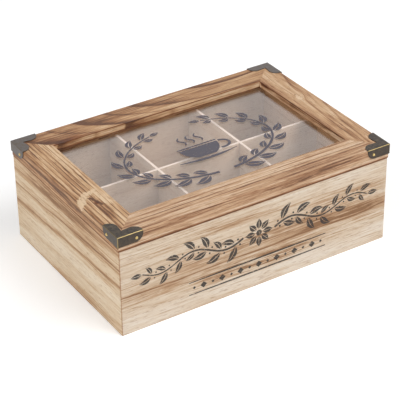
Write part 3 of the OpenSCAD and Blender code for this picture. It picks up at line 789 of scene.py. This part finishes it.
def vine_and_rosette(long, tall, leaf_long):
    """Two vines that run out from a rosette, over a row of lozenges between two rules."""
    shapes = []
    clear, half_waves, steps = 14, 3, 64
    run = long / 2 - clear
    for side in (1, -1):
        def stem(part):
            wave = tall / 2 * math.sin(math.pi * half_waves * part)
            return side * Vector((clear + run * part, wave))

        path = even_steps(stem, steps)
        widths = [1.8 - 0.9 * i / steps for i in range(steps + 1)]
        shapes += sprig(path, widths, 7, leaf_long, leaf_long, 6.2, 0.9, berry=0.9, crowding=5.5)
        shapes += leaf(path[-1] + Vector((side * 0.7, 0)), 0 if side > 0 else math.pi, 9, 4.2)
    petals = 8
    for i in range(petals):
        angle = 2 * math.pi * i / petals
        shapes += leaf(3.6 * toward(angle), angle, 8.6, 5.0)
    shapes += disc(Vector((0, 0)), 2.5)
    row, pitch, rule = -28, 8.2, 5.4
    for i in range(-7, 8):
        wide = 2.6 if i % 2 else 5.6
        shapes += lozenge(Vector((i * pitch, row)), wide)
    for level in (row + rule, row - rule):
        shapes += ribbon([Vector((x, level)) for x in (-62, -30, 30, 62)], [0.7, 1.3, 1.3, 0.7])
    return shapes


def wreath_and_teacup(wide, deep, leaves):
    """A wreath of two sprigs, open at the top, round a steaming cup on a saucer."""
    shapes = []
    steps = 72
    for side, outer, inner, broad in ((1, 11.5, 16.5, 6.6), (-1, 16.5, 11.5, 7.6)):
        def stem(part):
            angle = math.radians(-84 + 152 * part)
            return Vector((side * wide / 2 * math.cos(angle), deep / 2 * math.sin(angle)))

        path = even_steps(stem, steps)
        widths = [2.6 - 1.5 * i / steps for i in range(steps + 1)]
        shapes += sprig(path, widths, leaves, outer, inner, broad, 0.72)
        way = path[-1] - path[-2]
        shapes += leaf(path[-1] + 0.8 * way.normalized(), math.atan2(way.y, way.x), 9, 4.2)
    # The cup's bowl, rim and handle, the saucer, and three wisps of steam.
    brim = 2.6
    bowl = [brim - 15.2 * i / 16 for i in range(17)]
    shapes += ribbon([Vector((0, y)) for y in bowl],
                     [34 * math.sqrt(1 - (0.059 * (brim - y)) ** 2) for y in bowl])
    shapes += ribbon([Vector((0, 5.4)), Vector((0, 3.8))], [35, 34.4])
    handle = [Vector((17.3 + 7.6 * math.cos(a), -3.2 + 5.6 * math.sin(a))) for a in
              (math.radians(-108 + 192 * i / 20) for i in range(21))]
    shapes += ribbon(handle, [2.3] * 21)
    shapes += ribbon([Vector((x, -16.4 + 0.004 * x * x)) for x in range(-26, 27, 4)],
                     [0.6, 1.4, 2, 2.4, 2.8, 3, 3, 3, 2.8, 2.4, 2, 1.4, 0.8, 0.6])
    for x in (-7, 0.5, 8):
        steam = [Vector((x + 1.8 * math.sin(i * 0.55), 9 + i * 1.05)) for i in range(13)]
        shapes += ribbon(steam, [0.5 + 1.5 * math.sin(math.pi * (i + 0.5) / 13) for i in range(13)])
    return shapes


def piece_from(made, name, material):
    """A finished mesh as a new object of the scene, in one material."""
    mesh = bpy.data.meshes.new(name)
    made.to_mesh(mesh)
    made.free()
    mesh.materials.append(material)
    piece = bpy.data.objects.new(name, mesh)
    bpy.context.scene.collection.objects.link(piece)
    return piece


def print_piece(name, bands, origin, up, material, body):
    """One thin closed sheet of ink for each band, in a plane through origin, as a piece on a body."""
    sizes = bpy.context.scene.tea_box_sizes
    under, over = sizes.print_lift, sizes.print_lift + sizes.print_thickness
    right = Vector((1, 0, 0))
    out = right.cross(up)
    made = bmesh.new()
    for left, other in bands:
        rows = [[made.verts.new(origin + right * p.x * MM + up * p.y * MM + out * lift)
                 for p, lift in ((a, under), (b, under), (b, over), (a, over))] for a, b in zip(left, other)]
        made.faces.new(rows[0])
        made.faces.new(rows[-1][::-1])
        for near, far in zip(rows, rows[1:]):
            for i in range(4):
                made.faces.new((near[i], far[i], far[(i + 1) % 4], near[(i + 1) % 4]))
    bmesh.ops.recalc_face_normals(made, faces=made.faces)
    piece = piece_from(made, name, material)
    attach(piece, body)


class TEABOX_OT_front_print(bpy.types.Operator):
    """Prints a vine with a rosette, and a row of lozenges, on the front board"""

    bl_idname = "tea_box.front_print"
    bl_label = "Front print"

    def execute(self, context):
        sizes, colours = context.scene.tea_box_sizes, context.scene.tea_box_colours
        shapes = vine_and_rosette(sizes.vine_length / MM, sizes.vine_height / MM, sizes.leaf_length / MM)
        inked = dict(FRONT_BOARD, arrises=(), ink=tuple(colours.ink))
        ink = paulownia("stencil_ink_on_paulownia", colours, **inked)
        middle = Vector((0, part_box("front_board")[0].y, VINE_LEVEL * MM))
        print_piece("front_vine_print", shapes, middle, Vector((0, 0, 1)), ink, "box")
        return {"FINISHED"}


# Screen ink baked on glass: an even matt charcoal film, flaked and specked where it has worn.
def pane_ink(colours):
    material, tree = finish_of("baked_screen_ink_on_glass")
    place = rest_place(tree)
    fleck = add(tree, "TexNoise", None, {"Vector": place, "Scale": 0.85, "Detail": 5, "Roughness": 0.72})
    patch = add(tree, "TexNoise", None, {"Vector": place, "Scale": 0.05, "Detail": 2})
    patch = add(tree, "MapRange", None, [patch, 0.3, 0.7, 0.35, 0.41])
    whole = add(tree, "Math", "SUBTRACT", [fleck, patch])
    whole = add(tree, "MapRange", None, [whole, -0.01, 0.03])
    colour = add(tree, "Mix", MIXED, {0: fleck, 6: paint("#5A5660"), 7: colours.pane_ink}, 2)
    film = add(tree, "BsdfPrincipled", None, {"Base Color": colour, "Roughness": 0.55})
    mix = add(tree, "MixShader", None, [whole, add(tree, "BsdfTransparent"), film])
    add(tree, "OutputMaterial", None, [mix])
    return material


class TEABOX_OT_glass_print(bpy.types.Operator):
    """Prints a wreath of leaves round a plain teacup on the glass"""

    bl_idname = "tea_box.glass_print"
    bl_label = "Glass print"

    def execute(self, context):
        sizes, colours = context.scene.tea_box_sizes, context.scene.tea_box_colours
        shapes = wreath_and_teacup(sizes.wreath_width / MM, sizes.wreath_depth / MM, sizes.leaf_count)
        middle = Vector((0, 0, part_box("glass_pane")[1].z))
        ink = pane_ink(colours)
        print_piece("glass_wreath_print", shapes, middle, Vector((0, 1, 0)), ink, "lid")
        return {"FINISHED"}


# The stage, in metres and watts. Each lamp has its place, width and power.
FLOOR_HALF, FLOOR_DROP = 6, 0.0002
LAMPS = {"key_softbox": ((0.75, -1.25, 1.85), 1.5, 30.5), "left_softbox": ((-1.8, -0.3, 1.0), 2.2, 19.5),
         "back_softbox": ((1.17, 1.87, 1.45), 1.2, 1.4)}
LAMP_AIM = Vector((0, 0, 0.05))
SENSOR_MM, CLIP = 36, (0.05, 30)
# How much the floor glows where seen, and how bright the room is as a light and where seen.
FLOOR_GLOW, ROOM_LIGHT, ROOM_SEEN = 0.3, 0.4, 1.0


def in_sight(tree):
    """1 for what is seen straight, in a reflection or through glass, and 0 for what lights the box."""
    rays = add(tree, "LightPath").node.outputs
    seen = add(tree, "Math", "MAXIMUM", [rays["Is Camera Ray"], rays["Is Glossy Ray"]])
    return add(tree, "Math", "MAXIMUM", [seen, rays["Is Transmission Ray"]])


# Seamless white studio sweep: even matt white that goes to pure white in the picture and keeps a soft shadow.
def studio_floor():
    material, tree = finish_of("matt_white_studio_sweep")
    grain = add(tree, "TexNoise", None,
                {"Vector": add(tree, "TexCoord", out="Object"), "Scale": 3, "Detail": 2})
    matt = add(tree, "BsdfDiffuse", None, [add(tree, "MapRange", None, [grain, 0, 1, 0.86, 0.9])])
    glow = add(tree, "Math", "MULTIPLY", [in_sight(tree), FLOOR_GLOW])
    glow = add(tree, "Emission", None, [paint("#FFFFFF"), glow])
    add(tree, "OutputMaterial", None, [add(tree, "AddShader", None, [matt, glow])])
    return material


class TEABOX_OT_stage(bpy.types.Operator):
    """Sets the floor, the soft studio lamps, the white room and the camera"""

    bl_idname = "tea_box.stage"
    bl_label = "Stage"

    def execute(self, context):
        scene = context.scene
        view = scene.tea_box_view
        made = bmesh.new()
        bmesh.ops.create_grid(made, x_segments=8, y_segments=8, size=FLOOR_HALF)
        floor = piece_from(made, "studio_floor", studio_floor())
        floor.location.z = -FLOOR_DROP

        world = bpy.data.worlds.new("white_room")
        world.use_nodes = True
        tree = world.node_tree
        tree.nodes.clear()
        strength = add(tree, "MapRange", None, [in_sight(tree), 0, 1, ROOM_LIGHT, ROOM_SEEN])
        room = add(tree, "Background", None, [paint("#FFFFFF"), strength])
        add(tree, "OutputWorld", None, [room])
        scene.world = world

        for name, (place, width, watts) in LAMPS.items():
            lamp = bpy.data.lights.new(name, "AREA")
            lamp.size, lamp.energy = width, watts
            box = bpy.data.objects.new(name, lamp)
            box.location = place
            box.rotation_euler = (LAMP_AIM - box.location).to_track_quat("-Z", "Y").to_euler()
            # The broad left lamp stays out of reflections, so that it doesn't fill the pane from the right.
            box.visible_glossy = name != "left_softbox"
            scene.collection.objects.link(box)

        turn, rise = view.azimuth, view.elevation
        back = Vector((math.sin(turn) * math.cos(rise), -math.cos(turn) * math.cos(rise), math.sin(rise)))
        right = Vector((math.cos(turn), math.sin(turn), 0))
        level = Matrix((right, back.cross(right), back)).transposed()
        lens = bpy.data.cameras.new("photo_camera")
        lens.lens, lens.sensor_width, lens.sensor_fit = view.lens, SENSOR_MM, "HORIZONTAL"
        lens.clip_start, lens.clip_end = CLIP
        camera = bpy.data.objects.new("photo_camera", lens)
        turned = level @ Matrix.Rotation(view.roll, 3, "Z")
        camera.matrix_world = Matrix.Translation(Vector(view.aim) + back * view.distance) @ turned.to_4x4()
        scene.collection.objects.link(camera)
        scene.camera = camera
        scene.view_settings.view_transform = "Standard"
        return {"FINISHED"}


class TEABOX_PT_panel(bpy.types.Panel):
    """Steps that dress the box, in order"""

    bl_idname = "TEABOX_PT_panel"
    bl_label = "Tea bag organizer box"
    bl_space_type = "VIEW_3D"
    bl_region_type = "UI"
    bl_category = "Tea box"

    def draw(self, context):
        for step in STEPS:
            self.layout.operator(step.bl_idname)
        for group in (context.scene.tea_box_sizes, context.scene.tea_box_colours, context.scene.tea_box_view):
            column = self.layout.column()
            for name in group.__annotations__:
                column.prop(group, name)


GROUPS = {"tea_box_colours": TeaBoxColours, "tea_box_sizes": TeaBoxSizes, "tea_box_view": TeaBoxView}
STEPS = (TEABOX_OT_boards, TEABOX_OT_bottom, TEABOX_OT_dividers, TEABOX_OT_rails, TEABOX_OT_glass,
         TEABOX_OT_brackets, TEABOX_OT_hinges, TEABOX_OT_front_print, TEABOX_OT_glass_print, TEABOX_OT_stage)
CLASSES = (*GROUPS.values(), *STEPS, TEABOX_PT_panel)


def register():
    """Makes the settings, steps and panel known to Blender."""
    for kind in CLASSES:
        bpy.utils.register_class(kind)
    for name, kind in GROUPS.items():
        setattr(bpy.types.Scene, name, PointerProperty(type=kind))


def unregister():
    """Takes them away again."""
    for name in GROUPS:
        delattr(bpy.types.Scene, name)
    for kind in reversed(CLASSES):
        bpy.utils.unregister_class(kind)


def main():
    """Runs every step in order."""
    register()
    for step in STEPS:
        group, name = step.bl_idname.split(".")
        getattr(getattr(bpy.ops, group), name)()


if __name__ == "__main__":
    main()
